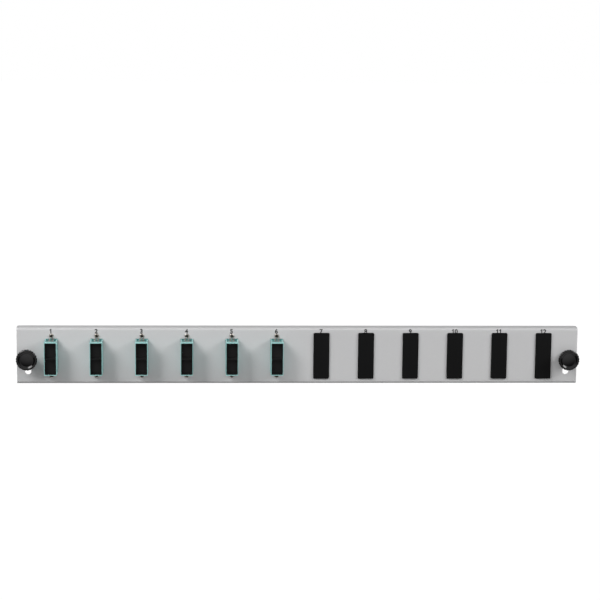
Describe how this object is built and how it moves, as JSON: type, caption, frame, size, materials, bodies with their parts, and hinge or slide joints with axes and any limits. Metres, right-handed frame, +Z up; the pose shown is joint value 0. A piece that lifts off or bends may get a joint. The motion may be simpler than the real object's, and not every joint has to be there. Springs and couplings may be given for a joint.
{
  "type": "fibre adapter panel",
  "caption": "One-unit folded steel panel with duplex fibre adapters, dust caps, snap-in blanks and a captive thumbscrew at each end.",
  "frame": {"origin": "centre of the plate's rear face, where the panel meets its housing", "axes": "+X along the panel from port 1 to port 12, +Y to the rear, +Z up"},
  "size_m": [0.4312, 0.0315, 0.0436],
  "materials": {
    "panel_paint": "satin",
    "aqua_plastic": "satin",
    "cap_plastic": "matte",
    "blank_plastic": "matte",
    "knob_plastic": "gloss",
    "bush_nylon": "matte",
    "holder_plastic": "matte",
    "sleeve_ceramic": "polished",
    "clip_steel": "satin",
    "bright_zinc": "satin"
  },
  "bodies": {
    "panel": {"panel_plate": "panel_paint", "sleeve_holders": "holder_plastic", "split_sleeves": "sleeve_ceramic", "adapter_screws": "bright_zinc", "adapter_nuts": "bright_zinc", "front_shell_1": "aqua_plastic", "rear_shell_1": "aqua_plastic", "adapter_clips_1": "clip_steel", "front_shell_2": "aqua_plastic", "rear_shell_2": "aqua_plastic", "adapter_clips_2": "clip_steel", "front_shell_3": "aqua_plastic", "rear_shell_3": "aqua_plastic", "adapter_clips_3": "clip_steel", "front_shell_4": "aqua_plastic", "rear_shell_4": "aqua_plastic", "adapter_clips_4": "clip_steel", "front_shell_5": "aqua_plastic", "rear_shell_5": "aqua_plastic", "adapter_clips_5": "clip_steel", "front_shell_6": "aqua_plastic", "rear_shell_6": "aqua_plastic", "adapter_clips_6": "clip_steel", "blank_7": "blank_plastic", "blank_8": "blank_plastic", "blank_9": "blank_plastic", "blank_10": "blank_plastic", "blank_11": "blank_plastic", "blank_12": "blank_plastic"},
    "front_cap_1_upper": {"front_cap_1_upper": "cap_plastic"},
    "front_cap_1_lower": {"front_cap_1_lower": "cap_plastic"},
    "rear_cap_1_upper": {"rear_cap_1_upper": "cap_plastic"},
    "rear_cap_1_lower": {"rear_cap_1_lower": "cap_plastic"},
    "front_cap_2_upper": {"front_cap_2_upper": "cap_plastic"},
    "front_cap_2_lower": {"front_cap_2_lower": "cap_plastic"},
    "rear_cap_2_upper": {"rear_cap_2_upper": "cap_plastic"},
    "rear_cap_2_lower": {"rear_cap_2_lower": "cap_plastic"},
    "front_cap_3_upper": {"front_cap_3_upper": "cap_plastic"},
    "front_cap_3_lower": {"front_cap_3_lower": "cap_plastic"},
    "rear_cap_3_upper": {"rear_cap_3_upper": "cap_plastic"},
    "rear_cap_3_lower": {"rear_cap_3_lower": "cap_plastic"},
    "front_cap_4_upper": {"front_cap_4_upper": "cap_plastic"},
    "front_cap_4_lower": {"front_cap_4_lower": "cap_plastic"},
    "rear_cap_4_upper": {"rear_cap_4_upper": "cap_plastic"},
    "rear_cap_4_lower": {"rear_cap_4_lower": "cap_plastic"},
    "front_cap_5_upper": {"front_cap_5_upper": "cap_plastic"},
    "front_cap_5_lower": {"front_cap_5_lower": "cap_plastic"},
    "rear_cap_5_upper": {"rear_cap_5_upper": "cap_plastic"},
    "rear_cap_5_lower": {"rear_cap_5_lower": "cap_plastic"},
    "front_cap_6_upper": {"front_cap_6_upper": "cap_plastic"},
    "front_cap_6_lower": {"front_cap_6_lower": "cap_plastic"},
    "rear_cap_6_upper": {"rear_cap_6_upper": "cap_plastic"},
    "rear_cap_6_lower": {"rear_cap_6_lower": "cap_plastic"},
    "left_bush": {"left_slot_bush": "bush_nylon"},
    "left_knob": {"left_knob": "knob_plastic", "left_thumbscrew": "bright_zinc"},
    "right_bush": {"right_slot_bush": "bush_nylon"},
    "right_knob": {"right_knob": "knob_plastic", "right_thumbscrew": "bright_zinc"}
  },
  "joints": [
    {"name": "pull_front_cap_1_upper", "type": "slide", "parent": "panel", "child": "front_cap_1_upper", "axis": [0, -1, 0], "range_m": [0, 0.014]},
    {"name": "pull_front_cap_1_lower", "type": "slide", "parent": "panel", "child": "front_cap_1_lower", "axis": [0, -1, 0], "range_m": [0, 0.014]},
    {"name": "pull_rear_cap_1_upper", "type": "slide", "parent": "panel", "child": "rear_cap_1_upper", "axis": [0, 1, 0], "range_m": [0, 0.014]},
    {"name": "pull_rear_cap_1_lower", "type": "slide", "parent": "panel", "child": "rear_cap_1_lower", "axis": [0, 1, 0], "range_m": [0, 0.014]},
    {"name": "pull_front_cap_2_upper", "type": "slide", "parent": "panel", "child": "front_cap_2_upper", "axis": [0, -1, 0], "range_m": [0, 0.014]},
    {"name": "pull_front_cap_2_lower", "type": "slide", "parent": "panel", "child": "front_cap_2_lower", "axis": [0, -1, 0], "range_m": [0, 0.014]},
    {"name": "pull_rear_cap_2_upper", "type": "slide", "parent": "panel", "child": "rear_cap_2_upper", "axis": [0, 1, 0], "range_m": [0, 0.014]},
    {"name": "pull_rear_cap_2_lower", "type": "slide", "parent": "panel", "child": "rear_cap_2_lower", "axis": [0, 1, 0], "range_m": [0, 0.014]},
    {"name": "pull_front_cap_3_upper", "type": "slide", "parent": "panel", "child": "front_cap_3_upper", "axis": [0, -1, 0], "range_m": [0, 0.014]},
    {"name": "pull_front_cap_3_lower", "type": "slide", "parent": "panel", "child": "front_cap_3_lower", "axis": [0, -1, 0], "range_m": [0, 0.014]},
    {"name": "pull_rear_cap_3_upper", "type": "slide", "parent": "panel", "child": "rear_cap_3_upper", "axis": [0, 1, 0], "range_m": [0, 0.014]},
    {"name": "pull_rear_cap_3_lower", "type": "slide", "parent": "panel", "child": "rear_cap_3_lower", "axis": [0, 1, 0], "range_m": [0, 0.014]},
    {"name": "pull_front_cap_4_upper", "type": "slide", "parent": "panel", "child": "front_cap_4_upper", "axis": [0, -1, 0], "range_m": [0, 0.014]},
    {"name": "pull_front_cap_4_lower", "type": "slide", "parent": "panel", "child": "front_cap_4_lower", "axis": [0, -1, 0], "range_m": [0, 0.014]},
    {"name": "pull_rear_cap_4_upper", "type": "slide", "parent": "panel", "child": "rear_cap_4_upper", "axis": [0, 1, 0], "range_m": [0, 0.014]},
    {"name": "pull_rear_cap_4_lower", "type": "slide", "parent": "panel", "child": "rear_cap_4_lower", "axis": [0, 1, 0], "range_m": [0, 0.014]},
    {"name": "pull_front_cap_5_upper", "type": "slide", "parent": "panel", "child": "front_cap_5_upper", "axis": [0, -1, 0], "range_m": [0, 0.014]},
    {"name": "pull_front_cap_5_lower", "type": "slide", "parent": "panel", "child": "front_cap_5_lower", "axis": [0, -1, 0], "range_m": [0, 0.014]},
    {"name": "pull_rear_cap_5_upper", "type": "slide", "parent": "panel", "child": "rear_cap_5_upper", "axis": [0, 1, 0], "range_m": [0, 0.014]},
    {"name": "pull_rear_cap_5_lower", "type": "slide", "parent": "panel", "child": "rear_cap_5_lower", "axis": [0, 1, 0], "range_m": [0, 0.014]},
    {"name": "pull_front_cap_6_upper", "type": "slide", "parent": "panel", "child": "front_cap_6_upper", "axis": [0, -1, 0], "range_m": [0, 0.014]},
    {"name": "pull_front_cap_6_lower", "type": "slide", "parent": "panel", "child": "front_cap_6_lower", "axis": [0, -1, 0], "range_m": [0, 0.014]},
    {"name": "pull_rear_cap_6_upper", "type": "slide", "parent": "panel", "child": "rear_cap_6_upper", "axis": [0, 1, 0], "range_m": [0, 0.014]},
    {"name": "pull_rear_cap_6_lower", "type": "slide", "parent": "panel", "child": "rear_cap_6_lower", "axis": [0, 1, 0], "range_m": [0, 0.014]},
    {"name": "left_bush_travel", "type": "slide", "parent": "panel", "child": "left_bush", "axis": [0, 0, -1], "range_m": [0, 0.0112]},
    {"name": "left_knob_turn", "type": "hinge", "parent": "left_bush", "child": "left_knob", "pos_m": [-0.20725, 0, -0.0012], "axis": [0, 1, 0], "continuous": true},
    {"name": "right_bush_travel", "type": "slide", "parent": "panel", "child": "right_bush", "axis": [0, 0, -1], "range_m": [0, 0.0112]},
    {"name": "right_knob_turn", "type": "hinge", "parent": "right_bush", "child": "right_knob", "pos_m": [0.20725, 0, -0.0012], "axis": [0, 1, 0], "continuous": true}
  ]
}
